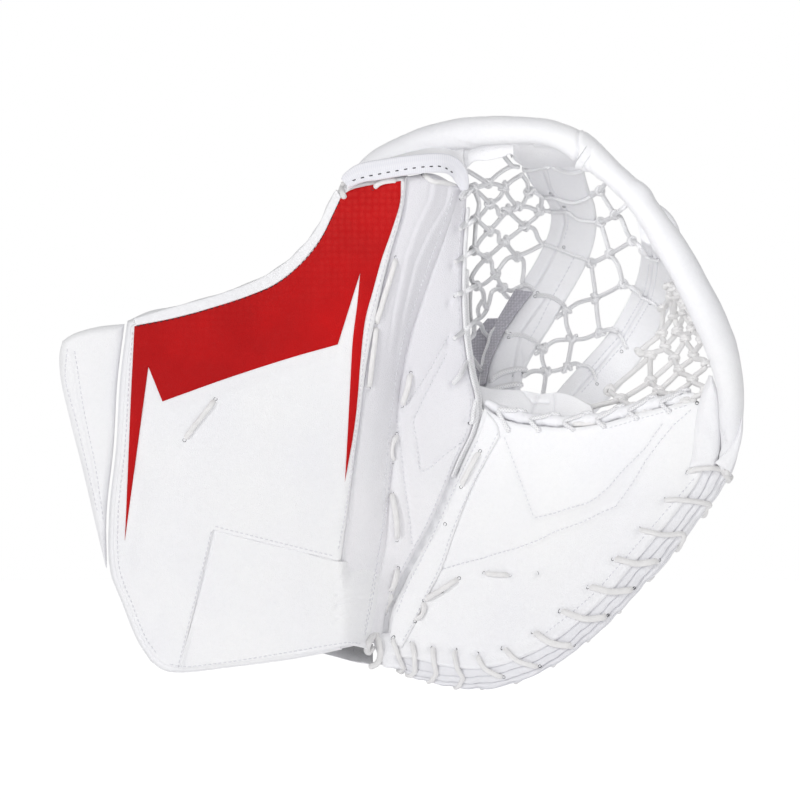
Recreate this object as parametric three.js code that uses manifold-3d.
// Ice hockey goalie catch glove, worn on the left hand, shown open and standing on its edge.
//
// Frame: +X towards the pocket, +Y out of the back of the hand, +Z up, millimetres.
// The palm faces -Y. The origin is below the middle of the glove, on the level it stands on.
//
// Table rows are [x, z, depth], with depth counted towards +Y from the cuff board's front face.
// "Front" is the -Y side and "back" the +Y side; left and right are -X and +X.
import * as THREE from "three";
import { mergeVertices } from "three/addons/utils/BufferGeometryUtils.js";
import Module from "manifold-3d";

// ---- driving dimensions ---------------------------------------------------------------
const ORIGIN_DEPTH = 43.9; // depth of the origin behind the cuff's front face
const COVER = 3.2; // leather with its thin foam backing
const PLATE = 1.8; // polyethylene protection plates
const GAP = 0.6; // clearance between stacked layers
const PLATE_FROM = COVER + GAP;
const FOAM_FROM = PLATE_FROM + PLATE + GAP;
const CUFF_FOAM = 9;
const FINGER_FOAM = 7;
const RIM_R = 8.7; // rim sleeve, outside
const RIM_WALL = 2.2;
const CORE_R = 5.8; // rim core cable
const RIM_FOLD = 0.412; // where the rim folds, as a fraction of its length
const LACE_R = 1.7; // leather lace
const EDGE_LACE_R = 1.5; // lace on the fingers' pocket edge
const WEB_LACE_R = 2.185; // corner radius of the three-sided web laces
const LACE_GAP = 0.6; // clearance below a lace that lies on leather
const STEM_W = 27; // width of the pocket's leather stems
const STEM_T = 3;
const STEM_LIFT = 2.9; // stems stand this far behind the pocket surface
const OVERLAY = { lift: 1.1, thick: 1.2 };
const RED_PANEL = { lift: 3.5, thick: 0.8 };
const STRIP = { lift: 0.7, thick: 1.4 };
const WALL_FRONT = 25; // depths of the cuff's side walls
const WALL_BACK = 57;
const STRAP_X = [-127.82, -90.2]; // hook patch width, which the other strap parts follow

const wasm = await Module();
wasm.setup();

// ---- groups ---------------------------------------------------------------------------
const glove = new THREE.Group();
function group(name, parent) {
  const child = new THREE.Group();
  child.name = name;
  parent.add(child);
  return child;
}
const thumbSide = group("thumb_side", glove); // cuff and thumb, with everything sewn to them
const fingerSide = group("finger_side", glove); // folds towards the thumb about the break
const backhand = group("backhand", thumbSide); // padded flap over the back of the hand
const handStrap = group("hand_strap_body", backhand);
const wristStrap = group("wrist_strap_body", thumbSide);

// ---- materials ------------------------------------------------------------------------
const material = (look) => new THREE.MeshStandardMaterial({ ...look, metalness: 0 });
const WHITE = material({ color: 0xf4f3f5, roughness: 0.5 });
const RED = material({ color: 0xc8141b, roughness: 0.42 });
const LACE = material({ color: 0xf0efec, roughness: 0.6 });
const WEBBING = material({ color: 0xececf1, roughness: 0.8 });
const LINING = material({ color: 0x2b2c30, roughness: 0.95 });
const FOAM = material({ color: 0xd8d8d4, roughness: 0.9 });
const PLASTIC = material({ color: 0xe9e9e4, roughness: 0.35 });
const HOOK = material({ color: 0x1d1e21, roughness: 1 });

// ---- points and curves ----------------------------------------------------------------
const point = (x, z, depth = 0) => new THREE.Vector3(x, depth - ORIGIN_DEPTH, z);
const through = (points) => new THREE.CatmullRomCurve3(points, false, "centripetal");
const spline = (rows) => through(rows.map((row) => point(...row)));
const lerp = (a, b, t) => a + (b - a) * t;
const mix = (a, b, t) => a.clone().lerp(b, t);
const arch = (t) => Math.sin(Math.PI * t);
const bulge = (height) => (u, v) => height * arch(u) * arch(v);
const flat = () => 0;

function slice(curve, from, to) {
  const spans = 14;
  const points = [];
  for (let k = 0; k <= spans; k++) points.push(curve.getPointAt(lerp(from, to, k / spans)));
  return through(points);
}

// The upward direction square to a curve in the XZ plane.
function upwardsFrom(curve, t) {
  const tangent = curve.getTangentAt(t);
  const up = new THREE.Vector3(-tangent.z, 0, tangent.x).normalize();
  return up.z < 0 ? up.negate() : up;
}

// ---- meshes ---------------------------------------------------------------------------
function volume(geometry) {
  const position = geometry.getAttribute("position");
  const [a, b, c] = [0, 1, 2].map(() => new THREE.Vector3());
  let total = 0;
  for (let k = 0; k < geometry.index.count; k += 3) {
    [a, b, c].forEach((p, j) => p.fromBufferAttribute(position, geometry.index.getX(k + j)));
    total += a.dot(b.cross(c)) / 6;
  }
  return total;
}

// Merges shared corners and turns the faces outwards.
function closed(geometry) {
  geometry.deleteAttribute("normal");
  geometry.deleteAttribute("uv");
  const merged = mergeVertices(geometry, 1e-3);
  if (volume(merged) < 0) {
    const index = merged.index.array;
    for (let k = 0; k < index.length; k += 3) {
      [index[k + 1], index[k + 2]] = [index[k + 2], index[k + 1]];
    }
  }
  return merged;
}

function add(parent, name, geometry, surfaceMaterial) {
  const mesh = new THREE.Mesh(closed(geometry), surfaceMaterial.clone());
  mesh.name = name;
  parent.add(mesh);
}

function toSolid(geometry) {
  const merged = closed(geometry);
  return new wasm.Manifold(new wasm.Mesh({
    numProp: 3,
    vertProperties: merged.getAttribute("position").array,
    triVerts: new Uint32Array(merged.index.array),
  }));
}

function toGeometry(solid) {
  const { numVert, numProp, vertProperties, triVerts } = solid.getMesh();
  const xyz = new Float32Array(numVert * 3);
  for (let k = 0; k < numVert; k++) {
    xyz.set(vertProperties.subarray(k * numProp, k * numProp + 3), k * 3);
  }
  return new THREE.BufferGeometry()
    .setAttribute("position", new THREE.BufferAttribute(xyz, 3))
    .setIndex(new THREE.BufferAttribute(triVerts, 1));
}

const join = (list) => toGeometry(list.map(toSolid).reduce((a, b) => a.add(b)));

// ---- shapes ---------------------------------------------------------------------------
// A box with nu by nv by nw cells whose points are carried to shape(u, v, w), each 0 to 1.
function formed(nu, nv, nw, shape) {
  const box = new THREE.BoxGeometry(1, 1, 1, nu, nv, nw);
  const position = box.getAttribute("position");
  for (let k = 0; k < position.count; k++) {
    const [u, v, w] = [position.getX(k), position.getY(k), position.getZ(k)];
    const { x, y, z } = shape(u + 0.5, v + 0.5, w + 0.5);
    position.setXYZ(k, x, y, z);
  }
  return box;
}

// A straight block between ranges of x, z and depth.
const block = (x, z, depth) =>
  formed(1, 1, 1, (u, v, w) => point(lerp(...x, u), lerp(...z, v), lerp(...depth, w)));

// A four-sided surface between boundary tables: bottom and top run in u, left and right in v.
function patch(bottom, top, left, right) {
  const [b, t, l, r] = [bottom, top, left, right].map(spline);
  const corners = [b.getPoint(0), b.getPoint(1), t.getPoint(0), t.getPoint(1)];
  return (u, v) => {
    const ruled = mix(b.getPointAt(u), t.getPointAt(u), v);
    ruled.add(mix(l.getPointAt(v), r.getPointAt(v), u));
    return ruled.sub(mix(mix(corners[0], corners[1], u), mix(corners[2], corners[3], u), v));
  };
}

// Finds where a patch passes x, z: the nearest of a coarse grid, then Newton steps.
function under(surface, x, z) {
  let [u, v] = [0.5, 0.5];
  let least = Infinity;
  for (let i = 0; i <= 12; i++) {
    for (let j = 0; j <= 12; j++) {
      const q = surface(i / 12, j / 12);
      const distance = Math.hypot(q.x - x, q.z - z);
      if (distance < least) {
        least = distance;
        [u, v] = [i / 12, j / 12];
      }
    }
  }
  for (let k = 0; k < 8; k++) {
    const q = surface(u, v);
    const stepU = u > 0.5 ? -1e-3 : 1e-3;
    const stepV = v > 0.5 ? -1e-3 : 1e-3;
    const slopeU = surface(u + stepU, v).sub(q).divideScalar(stepU);
    const slopeV = surface(u, v + stepV).sub(q).divideScalar(stepV);
    const det = slopeU.x * slopeV.z - slopeU.z * slopeV.x;
    if (Math.abs(det) < 1e-6) break;
    const dx = x - q.x;
    const dz = z - q.z;
    u = Math.min(1, Math.max(0, u + (dx * slopeV.z - dz * slopeV.x) / det));
    v = Math.min(1, Math.max(0, v + (slopeU.x * dz - slopeU.z * dx) / det));
  }
  return { u, v, y: surface(u, v).y };
}

// The point at x, z that stands "proud" in front of a patch with a crowned front.
function onFront(surface, x, z, crown, proud) {
  const hit = under(surface, x, z);
  return new THREE.Vector3(x, hit.y - crown(hit.u, hit.v) - proud, z);
}

// A sheet cut to an [x, z] outline and laid on a patch, "lift" proud of its crowned front.
// The outline is triangulated as (x, -z) and each triangle is split into four.
function sheet(outline, surface, { lift, thick }, crown) {
  const corners = outline.map(([x, z]) => new THREE.Vector2(x, -z));
  const middle = (p, q) => new THREE.Vector2((p.x + q.x) / 2, (p.y + q.y) / 2);
  const faces = THREE.ShapeUtils.triangulateShape(corners, []).flatMap((face) => {
    const [a, b, c] = face.map((k) => corners[k]);
    const [ab, bc, ca] = [middle(a, b), middle(b, c), middle(c, a)];
    return [[a, ab, ca], [ab, b, bc], [ca, bc, c], [ab, bc, ca]];
  });
  const key = (p) => p.x.toFixed(4) + "," + p.y.toFixed(4);
  const front = (p) => onFront(surface, p.x, -p.y, crown, lift + thick);
  const back = (p) => onFront(surface, p.x, -p.y, crown, lift);
  const edges = new Map(); // edges met once only, which bound the sheet
  const out = [];
  for (const face of faces) {
    const [a, b, c] = face.map(back);
    out.push(...face.map(front), a, c, b);
    for (let k = 0; k < 3; k++) {
      const ends = [face[k], face[(k + 1) % 3]];
      const [from, to] = ends.map(key);
      if (edges.has(to + "|" + from)) edges.delete(to + "|" + from);
      else edges.set(from + "|" + to, ends);
    }
  }
  for (const [a, b] of edges.values()) {
    out.push(front(a), back(a), back(b), front(a), back(b), front(b));
  }
  return new THREE.BufferGeometry().setFromPoints(out);
}

// A layer of a patch, nu by nv cells, between depths "front" and "back" behind the patch.
// Either may be a function of u, v. The crown raises the front face towards -Y.
function layer(surface, [nu, nv], { front, back, crown = flat, inset = 0 }) {
  const depth = (value, u, v) => (typeof value === "function" ? value(u, v) : value);
  return formed(nu, nv, 1, (boxU, boxV, w) => {
    const u = lerp(inset, 1 - inset, boxU);
    const v = lerp(inset, 1 - inset, boxV);
    const q = surface(u, v);
    q.y += w > 0.5 ? depth(front, u, v) - crown(u, v) : depth(back, u, v);
    return q;
  });
}

function polygon(path, radius, sides, turn) {
  for (let k = 0; k < sides; k++) {
    const angle = (turn * 2 * Math.PI * k) / sides;
    const corner = [radius * Math.cos(angle), radius * Math.sin(angle)];
    if (k === 0) path.moveTo(...corner);
    else path.lineTo(...corner);
  }
  path.closePath();
  return path;
}

// A lace, or with a wall a hollow sleeve, along a curve.
function tube(extrudePath, radius, steps, sides, wall = 0) {
  const shape = polygon(new THREE.Shape(), radius, sides, 1);
  if (wall) shape.holes.push(polygon(new THREE.Path(), radius - wall, sides, -1));
  const options = { steps, curveSegments: sides, bevelEnabled: false, extrudePath };
  return new THREE.ExtrudeGeometry(shape, options);
}

// A five-sided lace lying on a patch. Rows are [x, z, more], the last being extra height
// of the lace's axis over "proud".
function lying(surface, rows, options = {}) {
  const { crown = flat, proud = LACE_R + LACE_GAP, steps = rows.length * 2 } = options;
  const line = rows.map(([x, z, more = 0]) => onFront(surface, x, z, crown, proud + more));
  return tube(through(line), LACE_R, steps, 5);
}

// ---- board, gusset and palm lines -----------------------------------------------------
// Cuff and thumb board.
const boardTop = [
  [-155.75, 212.69, 4], [-142.64, 218.39, 3], [-113.57, 222.95, 1], [-98.75, 229.79, 0],
  [-77.09, 236.06, 0], [-62.84, 245.18, -1], [-49.73, 260, -2], [-41.75, 276.53, -3],
  [-37.19, 286.22, -4], [-29.78, 290.21, -4], [-15.53, 293.06, -4], [2.71, 295.34, -4],
];
const boardRight = [
  [-34.91, 26.87, 4], [-36.62, 51.95, 1], [-34.91, 75.89, 0], [-30.92, 105.53, 0],
  [-26.36, 141.44, 0], [-21.23, 182.48, 0], [-14.96, 218.39, -1], [-6.41, 252.59, -2],
  [0.43, 276.53, -3], [2.71, 295.34, -4],
];
const boardLeft = [
  [-142.64, 20.03, 6], [-150.05, 31.43, 5], [-158.6, 52.52, 3], [-165.44, 71.33, 2],
  [-166.01, 103.25, 2], [-162.02, 141.44, 2], [-159.74, 179.63, 3], [-155.75, 212.69, 4],
];
const boardBottom = [
  [-142.64, 20.03, 6], [-135.23, 14.9, 6], [-125.54, 13.76, 5], [-99.32, 16.61, 3],
  [-61.13, 21.74, 2], [-34.91, 26.87, 4],
];
const board = patch(boardBottom, boardTop, boardLeft, boardRight);

// Gusset from the board's edge back to the stitched line beside the palm.
const stitchLine = [
  [-20.66, 30.86, 20], [-17.24, 54.8, 19], [-10.97, 85.58, 18], [-8.12, 116.93, 17],
  [-2.42, 175.07, 15], [2.14, 199.58, 14], [14.11, 236.06, 12], [26.08, 269.12, 10],
  [31.21, 289.07, 8],
];
const gussetLeft = boardRight.map(([x, z, depth]) => [x + 0.912, z, depth + 0.5]);
const gusset = patch(
  [gussetLeft[0], [-28.64, 28.01, 12], stitchLine[0]],
  [gussetLeft.at(-1), [16.96, 297.05, 0], stitchLine.at(-1)],
  gussetLeft,
  stitchLine,
);

// Palm panel, from the stitched line to the pocket's edge and the break.
const palmLeft = stitchLine.map(([x, z, depth]) => [x + 1.026, z, depth + 2.5]);
const palmRight = [
  [-10.97, 30.86, 29], [-9.26, 47.39, 29], [-1.85, 63.92, 27], [4.42, 76.46, 25],
  [16.96, 99.26, 21], [31.21, 133.46, 17.5], [39.76, 152.27, 15], [41.47, 168.23, 15],
  [38.05, 184.19, 17], [35.2, 203.57, 18.5], [34.06, 225.23, 19], [34.63, 253.73, 18.5],
  [36.34, 278.81, 17.5], [36.91, 290.21, 15],
];
const palm = patch(
  [palmLeft[0], [-15.53, 29.72, 27], palmRight[0]],
  [palmLeft.at(-1), [34.63, 291.35, 13], palmRight.at(-1)],
  palmLeft,
  palmRight,
);

// ---- finger lines ---------------------------------------------------------------------
// v runs from the heel up to the pocket's edge, u from the break to the perimeter.
const breakLine = [
  [-8.405, 28.58, 29], [-6.41, 46.82, 29], [1, 62.78, 27], [7.27, 75.32, 25],
  [19.81, 97.55, 21], [34.06, 131.75, 17.5], [42.61, 151.13, 15], [46.6, 163.67, 13],
];
const perimeter = [
  [-7.55, 22.88, 27], [8.98, 20.03, 19], [27.22, 16.04, 11], [47.17, 15.47, 3],
  [67.12, 21.17, -5], [85.93, 30.86, -12], [103.03, 44.54, -18], [118.42, 59.36, -22],
  [132.67, 76.46, -25], [146.92, 93.56, -27], [160.6, 111.23, -28], [170.86, 128.33, -28],
  [174.28, 149.99, -27], [173.14, 165.95, -25],
];
const pocketEdge = [
  [46.6, 163.67, 13], [60.28, 156.26, 8], [83.65, 152.84, 2], [99.61, 152.84, -3],
  [115, 155.12, -8], [130.96, 159.68, -13], [146.35, 163.67, -18], [164.02, 167.09, -22],
  [173.14, 165.95, -25],
];
const fingers = patch(
  [breakLine[0], [-8.12, 25.73, 28], perimeter[0]], pocketEdge, breakLine, perimeter,
);

// Outline of the finger back pad, a little larger than the front.
const backPerimeter = [
  [-14.96, 17.75, 46], [14.68, 11.48, 36], [37.48, 6.92, 26], [55.72, 7.205, 18],
  [76.24, 14.33, 9], [96.19, 26.87, 2], [116.71, 43.97, -3], [132.1, 61.07, -6],
  [146.35, 73.61, -8], [160.6, 92.42, -9], [174.85, 111.23, -9], [186.82, 127.19, -9],
  [191.38, 145.43, -8], [189.1, 162.53, -6],
];
const backBreak = [
  [-5.84, 34.85, 62], [-2.99, 47.39, 68], [3.28, 62.21, 72], [10.12, 75.32, 74],
  [22.09, 97.55, 74], [36.34, 129.47, 68], [44.89, 142.01, 60], [50.02, 149.99, 50],
];
const backTop = [
  [50.02, 149.99, 50], [67.12, 145.43, 42], [89.92, 144.86, 34], [112.72, 147.71, 25],
  [135.52, 152.27, 14], [158.32, 157.4, 4], [175.42, 160.25, -2], [189.1, 162.53, -6],
];
const fingerBack = patch(
  [backBreak[0], [-10.4, 25.73, 54], backPerimeter[0]], backTop, backBreak, backPerimeter,
);

// ---- the pocket's surface -------------------------------------------------------------
// u runs round the pocket from the thumb to the finger tips, v from the palm's edge to the rim.
// The three tables share ten stations.
const pocketFromLine = [
  [38.62, 290.21, 17], [37.48, 262.28, 20], [36.91, 225.23, 22], [40.33, 186.47, 20],
  [48.88, 160.25, 17], [63.7, 151.7, 13], [84.22, 149.42, 8], [107.02, 149.99, 0],
  [135.52, 156.26, -9], [166.3, 162.53, -19],
];
const pocketToLine = [
  [37.48, 315.29, 14], [48.31, 317, 11], [60.28, 317.57, 9], [71.68, 317, 8],
  [84.79, 314.15, 7], [112.72, 294.77, 4], [144.07, 254.87, -6], [161.74, 223.52, -14],
  [173.71, 199.01, -20], [180.55, 175.07, -26],
];
// How far the pocket sags from the straight line between the two: offsets in x, y, z.
const sagOffsets = [
  [4, 12, -2], [10, 56, -6], [12, 84, -8], [13, 101, -8], [13, 111, -8],
  [14, 115, -8], [14, 108, -8], [12, 88, -6], [8, 54, -2], [2, 14, 0],
];
const pocketFrom = spline(pocketFromLine);
const pocketTo = spline(pocketToLine);
const pocketSag = through(sagOffsets.map((offset) => new THREE.Vector3(...offset)));
function pocket(u, v) {
  const q = mix(pocketFrom.getPoint(u), pocketTo.getPoint(u), v);
  const share = Math.pow(Math.max(0, 4 * v * (1 - v)), 0.72);
  return q.add(pocketSag.getPoint(u).multiplyScalar(share));
}
const atStation = (station) => station / (pocketFromLine.length - 1);

// ======================================================================================
// THUMB SIDE: cuff and thumb
// ======================================================================================
const boardCrown = bulge(1);
const cuffBackFrom = FOAM_FROM + CUFF_FOAM + GAP;
const cuffLiningFrom = cuffBackFrom + 3 + GAP;
add(thumbSide, "cuff_front_cover",
  layer(board, [9, 10], { front: 0, back: COVER, crown: boardCrown }), WHITE);
add(thumbSide, "cuff_plastic_plate",
  layer(board, [6, 7], { front: PLATE_FROM, back: PLATE_FROM + PLATE, inset: 0.04 }), PLASTIC);
add(thumbSide, "cuff_foam_core",
  layer(board, [6, 7], { front: FOAM_FROM, back: FOAM_FROM + CUFF_FOAM, inset: 0.035 }), FOAM);
add(thumbSide, "cuff_back_cover",
  layer(board, [7, 8], { front: cuffBackFrom, back: cuffBackFrom + 3, inset: 0.03 }), WHITE);

// Graphic overlay: the upper leather layer, lying on the front cover. Rows are [x, z].
const overlayLine = [
  [-126.11, 16.04], [-134.09, 17.465], [-140.93, 22.31], [-147.77, 32.57], [-156.32, 53.09],
  [-163.16, 71.9], [-164.015, 103.25], [-160.025, 141.44], [-157.46, 179.63],
  [-154.04, 210.41], [-142.64, 216.11], [-113.57, 220.67], [-98.75, 227.51], [-77.09, 233.78],
  [-62.27, 242.9], [-48.59, 257.72], [-40.04, 274.25], [-35.48, 283.94], [-29.78, 287.93],
  [-15.53, 291.35], [1.57, 293.06], [-1.28, 272.255], [-6.98, 252.59], [-15.245, 218.39],
  [-21.23, 185.33], [-25.22, 153.98], [-30.35, 115.79], [-35.48, 76.46], [-71.96, 85.295],
  [-107.3, 94.13],
];
add(thumbSide, "graphic_overlay", sheet(overlayLine, board, OVERLAY, boardCrown), WHITE);

// Red panel in front of the overlay. Rows are [x, z].
const redLine = [
  [-152.33, 209.84], [-113.57, 218.96], [-98.75, 225.23], [-77.09, 231.5], [-62.27, 241.19],
  [-48.59, 256.01], [-40.04, 272.54], [-34.91, 282.23], [-29.78, 286.22], [-15.53, 289.64],
  [-0.71, 291.35], [-2.99, 279.38], [-9.26, 256.01], [-14.39, 240.05], [-19.52, 218.39],
  [-24.08, 199.58], [-25.79, 179.63], [-32.858, 122.63], [-30.92, 170.51], [-27.5, 217.25],
  [-25.22, 234.35], [-36.62, 201.005], [-86.78, 184.361], [-136.94, 167.66],
  [-144.065, 187.04], [-157.745, 88.43], [-156.035, 128.33], [-154.325, 170.51],
];
add(thumbSide, "red_panel", sheet(redLine, board, RED_PANEL, boardCrown), RED);

// Binding tape over the cuff's top edge, following the hollow between cuff and thumb.
const topEdge = spline(boardTop.slice(0, 9));
add(thumbSide, "cuff_top_binding", formed(10, 1, 1, (u, v, w) => {
  const t = lerp(0.02, 0.97, u);
  const q = topEdge.getPointAt(t).addScaledVector(upwardsFrom(topEdge, t), lerp(1, 3.4, v));
  q.y += lerp(16.5, -1.5, w);
  return q;
}), WEBBING);

// Wing beyond the left edge of the cuff board.
const wing = patch(
  [[-168.86, 73.61, 9], [-168.518, 73.04, 9], [-168.062, 72.47, 9]],
  [[-193.37, 201.86, 14], [-187.1, 205.85, 11], [-173.42, 209.84, 9], [-158.03, 211.55, 9]],
  [
    [-168.86, 73.61, 9], [-175.13, 99.83, 11], [-181.97, 128.9, 13], [-189.38, 157.97, 15],
    [-194.51, 180.77, 16], [-195.08, 194.45, 16], [-193.37, 201.86, 14],
  ],
  [
    [-168.062, 72.47, 9], [-168.29, 103.25, 7.5], [-164.3, 141.44, 7.5],
    [-162.02, 179.63, 8], [-158.03, 211.55, 9],
  ],
);
add(thumbSide, "cuff_wing", layer(wing, [3, 8], { front: 0, back: 9 }), WHITE);

add(thumbSide, "thumb_gusset", layer(gusset, [3, 10], { front: 0, back: 4.5 }), WHITE);
add(thumbSide, "palm_panel", layer(palm, [4, 12], { front: 0, back: COVER + 1 }), WHITE);
add(thumbSide, "palm_foam",
  layer(palm, [4, 10], { front: COVER + 2.4, back: COVER + 8.4, inset: 0.06 }), FOAM);

// Webbing binding over the tip of the thumb, narrowing towards its ends.
const tip = spline([
  [-32.06, 293.06, -11.4], [-17.24, 298.19, -11.8], [1.57, 301.61, -11.5],
  [20.38, 303.32, -7.5], [30.64, 301.04, -1], [37.48, 295.34, 7],
]);
add(thumbSide, "thumb_tip_binding", formed(10, 1, 1, (u, v, w) => {
  const half = 5.6 * Math.pow(arch(lerp(0.16, 0.97, u)), 0.35);
  const raise = lerp(-half, half, v) + (u > 0.7 ? 1.5 : 0);
  const q = tip.getPointAt(u).addScaledVector(upwardsFrom(tip, u), raise);
  q.y += lerp(2.6, 0, w);
  return q;
}), WEBBING);

// Rim: a leather sleeve over a core, in two halves that meet at the fold.
// The centre line runs from the thumb end to the finger end.
const rim = spline([
  [-24.65, 293.63, 19], [-19.52, 298.76, 18.5], [-12.11, 303.605, 17.5], [-2.99, 308.45, 15.5],
  [7.84, 313.01, 13], [20.95, 317.285, 10.5], [33.49, 319.85, 8.5], [47.74, 321.56, 6],
  [61.42, 321.845, 4.5], [75.67, 321.275, 2.5], [88.21, 318.71, 1.5], [99.61, 313.01, 1],
  [108.73, 306.74, 0], [116.71, 299.9, -2], [124.69, 292.49, -5], [134.665, 281.66, -9],
  [148.63, 261.71, -15], [161.455, 240.05, -21], [172.57, 218.39, -26.5],
  [180.55, 199.58, -31], [184.825, 183.62, -33.5], [186.82, 167.66, -35],
  [186.535, 156.83, -34.5], [185.11, 146.57, -33],
]);
const rimSleeve = (from, to, steps) => tube(slice(rim, from, to), RIM_R, steps, 9, RIM_WALL);
const rimCore = (from, to, steps) => tube(slice(rim, from, to), CORE_R, steps, 8);
add(thumbSide, "rim_sleeve_thumb", rimSleeve(0, RIM_FOLD - 0.004, 11), WHITE);
add(thumbSide, "rim_core_thumb", rimCore(0.004, RIM_FOLD - 0.008, 11), PLASTIC);
add(fingerSide, "rim_sleeve_finger", rimSleeve(RIM_FOLD + 0.004, 1, 12), WHITE);
add(fingerSide, "rim_core_finger", rimCore(RIM_FOLD + 0.008, 0.996, 12), PLASTIC);

// ---- stems and webs -------------------------------------------------------------------
// A leather band from the palm's edge to the rim, on the back of the pocket surface.
function stem(station) {
  const u = atStation(station);
  return formed(2, 12, 1, (a, b, c) => {
    const v = lerp(0.07, 0.93, b);
    const across = pocket(u + 0.01, v).sub(pocket(u - 0.01, v)).normalize();
    const ahead = pocket(u, Math.min(1, v + 0.01));
    const along = ahead.sub(pocket(u, Math.max(0, v - 0.01))).normalize();
    const out = across.clone().cross(along).normalize();
    if (out.y < 0) out.negate();
    return pocket(u, v)
      .addScaledVector(across, lerp(-STEM_W / 2, STEM_W / 2, a))
      .addScaledVector(out, STEM_LIFT + c * STEM_T);
  });
}
add(thumbSide, "t_stem", stem(4), WHITE);

// A web of crossing laces over a range of pocket stations and of v, in nu by nv cells,
// with a border lace along both v ends so that it is one piece.
function web(stations, range, [nu, nv]) {
  const laces = [];
  const node = (i, j) => pocket(atStation(lerp(...stations, i / nu)), lerp(...range, j / nv));
  const run = (nodes) =>
    laces.push(tube(through(nodes), WEB_LACE_R, Math.max(3, nodes.length), 3));
  for (let k = -nv; k < nu; k++) {
    const up = [];
    const down = [];
    for (let j = 0; j <= nv; j++) {
      const i = k + j;
      if (i >= 0 && i <= nu) {
        up.push(node(i, j));
        down.push(node(nu - i, j));
      }
    }
    if (up.length > 2) {
      run(up);
      run(down);
    }
  }
  for (const j of [0, nv]) {
    const border = [];
    for (let i = 0; i <= nu; i++) border.push(node(i, j));
    run(border);
  }
  return join(laces);
}
add(thumbSide, "web_thumb", web([0.55, 3.35], [0.07, 0.94], [3, 5]), LACE);

// ---- laces on the thumb side ----------------------------------------------------------
// One zigzag lace down the palm panel's pocket edge.
const thumbWebLace = [
  [33.49, 282.23, 12], [36.34, 278.24, 11], [32.35, 265.7, 13], [35.2, 260.57, 12],
  [29.5, 244.61, 14], [34.06, 237.77, 13], [27.22, 223.52, 14.5], [32.92, 216.11, 13.5],
  [26.65, 200.72, 15], [33.49, 193.31, 14], [28.93, 177.35, 14.5], [37.48, 172.79, 12],
  [35.2, 160.25, 12.5],
];
add(thumbSide, "thumb_web_lace", tube(spline(thumbWebLace), LACE_R, 26, 5), LACE);

// Long stitches down the thumb gusset, the cuff and the palm. Rows are as for lying().
add(thumbSide, "gusset_lace", lying(gusset, [
  [-3.56, 249.17], [-6.41, 238.91, 1.5], [-11.54, 221.81, 1.5], [-14.96, 210.98],
  [-13.82, 205.85, 1], [-16.1, 191.03, 1.5], [-18.95, 175.07],
]), LACE);
add(thumbSide, "cuff_lace", lying(board, [
  [-106.73, 168.8], [-111.29, 162.53, 1.2], [-118.7, 151.7, 1.2], [-123.83, 145.43],
], { crown: boardCrown, proud: OVERLAY.lift + OVERLAY.thick + LACE_R + 0.8 }), LACE);
add(thumbSide, "palm_lace", lying(palm, [
  [5.56, 184.19], [1.57, 164.81, 1.5], [-2.42, 147.71], [-4.13, 132.89, 1.5], [-4.7, 115.79],
  [-2.99, 103.25, 1.5], [-2.705, 88.43], [-2.99, 71.9, 0.6], [-5.555, 58.79, 1.5],
  [-6.41, 46.25],
]), LACE);

// ---- back of the thumb and the wrist --------------------------------------------------
const thumbBack = patch(
  [[-28.64, 147.71, 62], [-5.84, 142.01, 66], [15.82, 145.43, 60]],
  [[-25.22, 286.79, 35], [-1.28, 294.77, 36], [27.22, 291.35, 32]],
  [
    [-28.64, 147.71, 62], [-32.63, 179.63, 60], [-34.91, 213.83, 52], [-31.49, 253.73, 42],
    [-25.22, 286.79, 35],
  ],
  [
    [15.82, 145.43, 60], [27.22, 173.93, 58], [30.64, 213.83, 54], [30.64, 253.73, 44],
    [27.22, 291.35, 32],
  ],
);
add(thumbSide, "thumb_back_pad",
  layer(thumbBack, [5, 8], { front: 0, back: 9, crown: (u) => -3 * arch(u) }), WHITE);

// Tapered lining tube for the thumb, left open by a narrow slit along its length.
add(thumbSide, "thumb_stall", formed(8, 5, 1, (u, v, w) => {
  const angle = Math.PI * 2 * Math.min(0.965, u);
  const radius = lerp(12, 7.2, v) * (w > 0.5 ? 1 : 0.82);
  const q = point(lerp(-5.84, 3.28, v), lerp(151.13, 261.71, v), lerp(46, 27, v));
  q.x += Math.cos(angle) * radius * 1.15;
  q.y += Math.sin(angle) * radius * 0.62;
  return q;
}), LINING);

// Side walls that carry the cuff round the wrist, along [x, z] lines and between two
// z offsets from them.
function wall(line, offsets) {
  const run = spline(line);
  return formed(9, 2, 1, (u, v, w) => {
    const back = lerp(WALL_FRONT, WALL_BACK, Math.pow(arch(lerp(0.2, 0.8, u)), 0.4));
    const q = run.getPointAt(u);
    q.y = lerp(WALL_FRONT, back, v) - ORIGIN_DEPTH;
    q.z += lerp(...offsets, w);
    return q;
  });
}
add(thumbSide, "cuff_upper_wall", wall([
  [-150.62, 210.41], [-126.68, 214.97], [-98.18, 223.52], [-76.52, 230.36], [-60.56, 240.62],
  [-48.02, 254.87], [-40.61, 268.55],
], [-2, -10]), WHITE);
add(thumbSide, "cuff_lower_wall", wall([
  [-132.38, 17.75], [-99.32, 20.03], [-61.13, 25.16], [-32.06, 29.72],
], [0.5, 8.5]), WHITE);
add(thumbSide, "cuff_lining",
  layer(board, [6, 6], { front: cuffLiningFrom, back: cuffLiningFrom + 2, inset: 0.12 }), LINING);
add(thumbSide, "palm_liner", layer(palm, [3, 8], { front: 13, back: 15, inset: 0.1 }), LINING);

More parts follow.
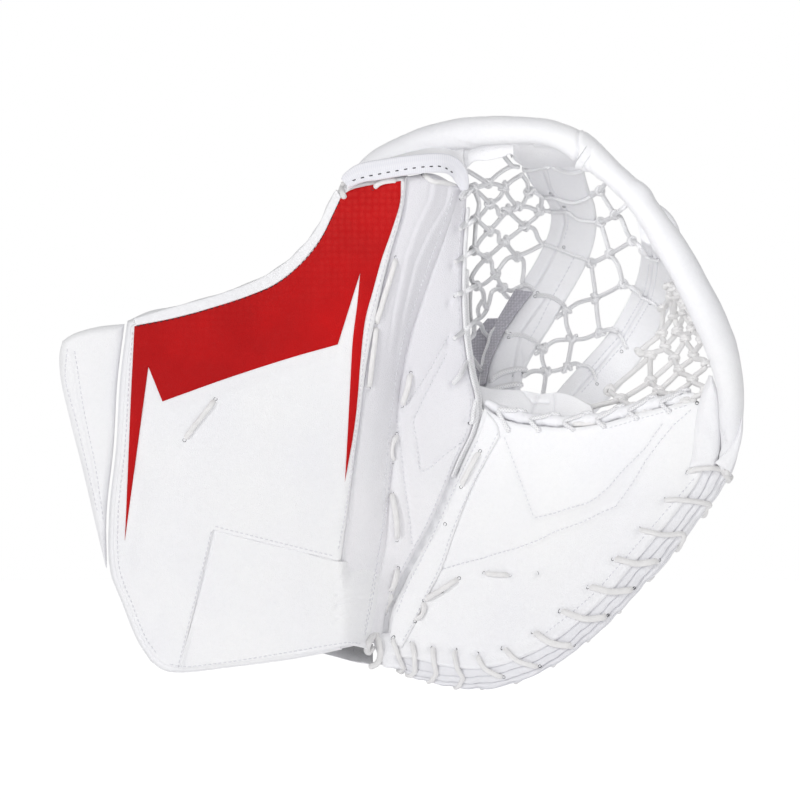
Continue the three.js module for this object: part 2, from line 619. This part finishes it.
// ---- strap parts ----------------------------------------------------------------------
// Hardware on the back edges of the walls, then flat webbing across the wrist opening
// with a flat pull tab.
const strapX = (margin) => [STRAP_X[0] + margin, STRAP_X[1] - margin];
add(thumbSide, "strap_anchor", block(strapX(-2.28), [205.85, 214.97], [57.8, 63.6]), PLASTIC);
add(thumbSide, "wrist_hook_patch", block(STRAP_X, [18.89, 28.01], [57.8, 62.4]), HOOK);
add(wristStrap, "wrist_strap", block(strapX(1.14), [210.41, 17.75], [64.4, 66.8]), WEBBING);
add(wristStrap, "strap_pull_tab", block(strapX(3.42), [54.23, 20.03], [67.4, 69.8]), HOOK);

// ---- backhand flap: liner, foam, plate and cover, then its hook patch and strap -------
const flap = patch(
  [[-66.26, 41.69, 57], [-41.18, 37.7, 60], [-14.96, 40.55, 59]],
  [[-63.98, 138.02, 62], [-29.78, 138.59, 66], [-5.84, 135.74, 67], [18.1, 136.31, 64]],
  [[-66.26, 41.69, 57], [-71.39, 77.03, 62], [-70.25, 111.23, 64], [-63.98, 138.02, 62]],
  [
    [-14.96, 40.55, 59], [-10.4, 51.95, 62], [-4.13, 65.63, 65], [3.28, 79.88, 67],
    [14.11, 100.97, 68], [20.38, 120.35, 66], [18.1, 136.31, 64],
  ],
);
const flapPuff = bulge(5);
const puffed = (depth) => (u, v) => depth + flapPuff(u, v);
add(backhand, "backhand_liner", layer(flap, [5, 5], { front: 0, back: 1.6, inset: 0.03 }), LINING);
add(backhand, "backhand_foam",
  layer(flap, [5, 5], { front: 2.2, back: puffed(8), inset: 0.03 }), FOAM);
add(backhand, "backhand_plate",
  layer(flap, [5, 5], { front: puffed(8.7), back: puffed(10.3), inset: 0.05 }), PLASTIC);
add(backhand, "backhand_cover",
  layer(flap, [8, 8], { front: puffed(11), back: puffed(14) }), WHITE);

// A layer over part of the flap, given as ranges of u and v.
function flapPart(rangeU, rangeV, from, thick) {
  const inPart = (f) => (u, v) => f(lerp(...rangeU, u), lerp(...rangeV, v));
  const faces = { front: inPart(puffed(from)), back: inPart(puffed(from + thick)) };
  return layer(inPart(flap), [2, 5], faces);
}
add(backhand, "backhand_hook_patch", flapPart([0.32, 0.68], [0.1, 0.34], 14.7, 1.6), HOOK);
add(handStrap, "hand_strap", flapPart([0.33, 0.67], [0.06, 0.8], 17, 2.2), WEBBING);

// ======================================================================================
// FINGER SIDE
// ======================================================================================
add(fingerSide, "second_stem", stem(6), WHITE);
add(fingerSide, "web_middle", web([4.62, 5.4], [0.08, 0.93], [2, 6]), LACE);
add(fingerSide, "web_finger", web([6.55, 8.5], [0.08, 0.93], [3, 5]), LACE);

const fingerCrown = bulge(-2.5); // negative: the front is hollow
const hollowed = (depth) => (u, v) => depth - fingerCrown(u, v);
const fingerStack = FOAM_FROM + FINGER_FOAM;
add(fingerSide, "finger_front_cover",
  layer(fingers, [8, 12], { front: 0, back: COVER, crown: fingerCrown }), WHITE);
add(fingerSide, "finger_plastic_plate", layer(fingers, [6, 8], {
  front: hollowed(PLATE_FROM), back: hollowed(PLATE_FROM + PLATE), inset: 0.1,
}), PLASTIC);
add(fingerSide, "finger_foam", layer(fingers, [6, 8], {
  front: hollowed(FOAM_FROM), back: hollowed(fingerStack), inset: 0.1,
}), FOAM);
const backPuff = (u, v) => 6 + bulge(5)(u, v);
add(fingerSide, "finger_back_pad",
  layer(fingerBack, [8, 12], { front: 0, back: backPuff }), WHITE);

// Bound edge between the front panel and the back pad, round the perimeter.
const edgeFront = spline(perimeter);
const edgeBack = spline(backPerimeter);
const panelMiddle = point(89.92, 99.83, 20);
add(fingerSide, "finger_edge_binding", formed(1, 24, 1, (u, v, w) => {
  const t = lerp(0.07, 0.98, v);
  const front = edgeFront.getPointAt(t);
  const back = edgeBack.getPointAt(t);
  front.y += COVER + 2 * GAP;
  back.y -= 2 * GAP;
  const q = mix(front, back, lerp(0.05, 0.92, u));
  const inward = edgeFront.getTangentAt(t).cross(back.clone().sub(front)).normalize();
  if (inward.dot(panelMiddle.clone().sub(q)) < 0) inward.negate();
  return q.addScaledVector(inward, w > 0.5 ? 0 : 2.2);
}), WEBBING);

// Perimeter lace, whipped round the edge from the heel to the finger tips.
function perimeterLace() {
  const turns = 13;
  const middle = point(67.12, 99.83);
  const line = [];
  for (let k = 0; k <= turns; k++) {
    const t = lerp(0.12, 0.86, k / turns);
    const front = edgeFront.getPointAt(t);
    const back = edgeBack.getPointAt(t);
    const out = front.clone().sub(middle).setY(0).normalize();
    const moved = (q, distance) => q.clone().addScaledVector(out, distance);
    const inner = moved(front, -9);
    const onPanel = onFront(fingers, inner.x, inner.z, fingerCrown, LACE_R + 1.1);
    const overFront = moved(front, 4.2);
    overFront.y -= 3;
    const overBack = moved(back, 5.2);
    overBack.y += 7.5;
    const onPad = moved(back, -7);
    const pad = under(fingerBack, onPad.x, onPad.z);
    onPad.y = pad.y + backPuff(pad.u, pad.v) + LACE_R + 5;
    const whip = [onPanel, overFront, overBack, onPad];
    line.push(...(k % 2 === 0 ? whip : whip.reverse()));
  }
  return tube(through(line), LACE_R, Math.round(line.length * 1.75), 4);
}
add(fingerSide, "perimeter_lace", perimeterLace(), LACE);

// Strip sewn over the finger panel beside the break. Rows are [x, z].
const stripLine = [
  [-6.98, 30.86], [-4.415, 46.82], [2.71, 62.21], [9.55, 75.32], [21.805, 96.98],
  [35.77, 130.61], [44.32, 149.42], [48.31, 161.39], [54.01, 154.55], [55.72, 147.71],
  [39.19, 116.93], [30.07, 92.99], [22.66, 71.9], [16.39, 59.36], [5.56, 37.13],
  [-0.14, 26.87],
];
add(fingerSide, "break_strip", sheet(stripLine, fingers, STRIP, fingerCrown), WHITE);

// Rolled leather along the finger panel's pocket edge, with the lace that ties the web to it.
const roll = spline(pocketEdge.slice(0, 8).map(([x, z, depth]) => [x + 1.14, z + 3.42, depth + 5]));
add(fingerSide, "pocket_edge_roll", tube(slice(roll, 0.02, 1), 3.4, 11, 7), WHITE);
const pocketEdgeLace = [
  [53.44, 154.55, 2.2], [60.28, 162.53, 2], [67.12, 150.56, -1.5], [75.1, 159.11, -2],
  [83.08, 148.28, -5], [91.06, 157.4, -6], [99.04, 148.28, -10], [107.02, 158.54, -10.5],
  [115, 149.99, -15], [122.98, 162.53, -15.5], [130.96, 153.98, -20], [138.94, 166.52, -20.5],
  [146.92, 157.97, -25], [154.9, 168.8, -25],
];
add(fingerSide, "pocket_edge_lace", tube(spline(pocketEdgeLace), EDGE_LACE_R, 27, 5), LACE);

// Laces over the break strip and on the finger panel. Rows are as for lying().
add(fingerSide, "break_lace", lying(fingers, [
  [44.32, 139.16], [38.62, 128.33, 1.2], [33.49, 118.64], [30.07, 106.67], [25.51, 96.98],
  [19.24, 85.58, 1.2], [12.4, 74.18], [20.38, 63.92, 0.5], [31.78, 66.2], [24.94, 61.07, 1],
  [16.96, 58.79], [12.4, 54.23, 0.8], [6.7, 42.83],
], { crown: fingerCrown, proud: STRIP.lift + STRIP.thick + LACE_R + LACE_GAP, steps: 20 }), LACE);
add(fingerSide, "finger_lace", lying(fingers, [
  [46.6, 69.62], [54.01, 69.05, 0.8], [61.42, 69.05, 0.2], [69.4, 69.335, 0.2],
  [77.38, 70.19],
], { crown: fingerCrown }), LACE);

// Finger stalls between the front panel and the back pad: lining tubes with a narrow slit
// along their length, flattened to fit the room there is.
function fingerStall([x0, z0], [x1, z1], radius) {
  const side = new THREE.Vector3(z1 - z0, 0, x0 - x1).normalize();
  return formed(8, 4, 1, (u, v, w) => {
    const angle = Math.PI * 2 * Math.min(0.96, u);
    const q = point(lerp(x0, x1, v), lerp(z0, z1, v));
    const panel = under(fingers, q.x, q.z);
    const near = panel.y + hollowed(fingerStack)(panel.u, panel.v);
    const far = under(fingerBack, q.x, q.z).y;
    const radiusY = Math.min(radius, (far - near) / 2 - 1.6);
    const scale = lerp(1, 0.8, v) * (w > 0.5 ? 1 : 0.8);
    q.y = (near + far) / 2 + Math.sin(angle) * radiusY * scale;
    return q.addScaledVector(side, Math.cos(angle) * radius * scale);
  });
}
// Name, [x, z] of the root, [x, z] of the tip, radius.
const stalls = [
  ["index_stall", [38.62, 121.49], [128.68, 138.59], 8],
  ["middle_stall", [30.64, 103.82], [129.82, 119.21], 8],
  ["ring_stall", [23.23, 86.15], [116.14, 95.27], 8],
  ["little_stall", [15.82, 67.34], [89.92, 70.19], 7],
];
for (const [name, root, end, radius] of stalls) {
  add(fingerSide, name, fingerStall(root, end, radius), LINING);
}

export default glove;
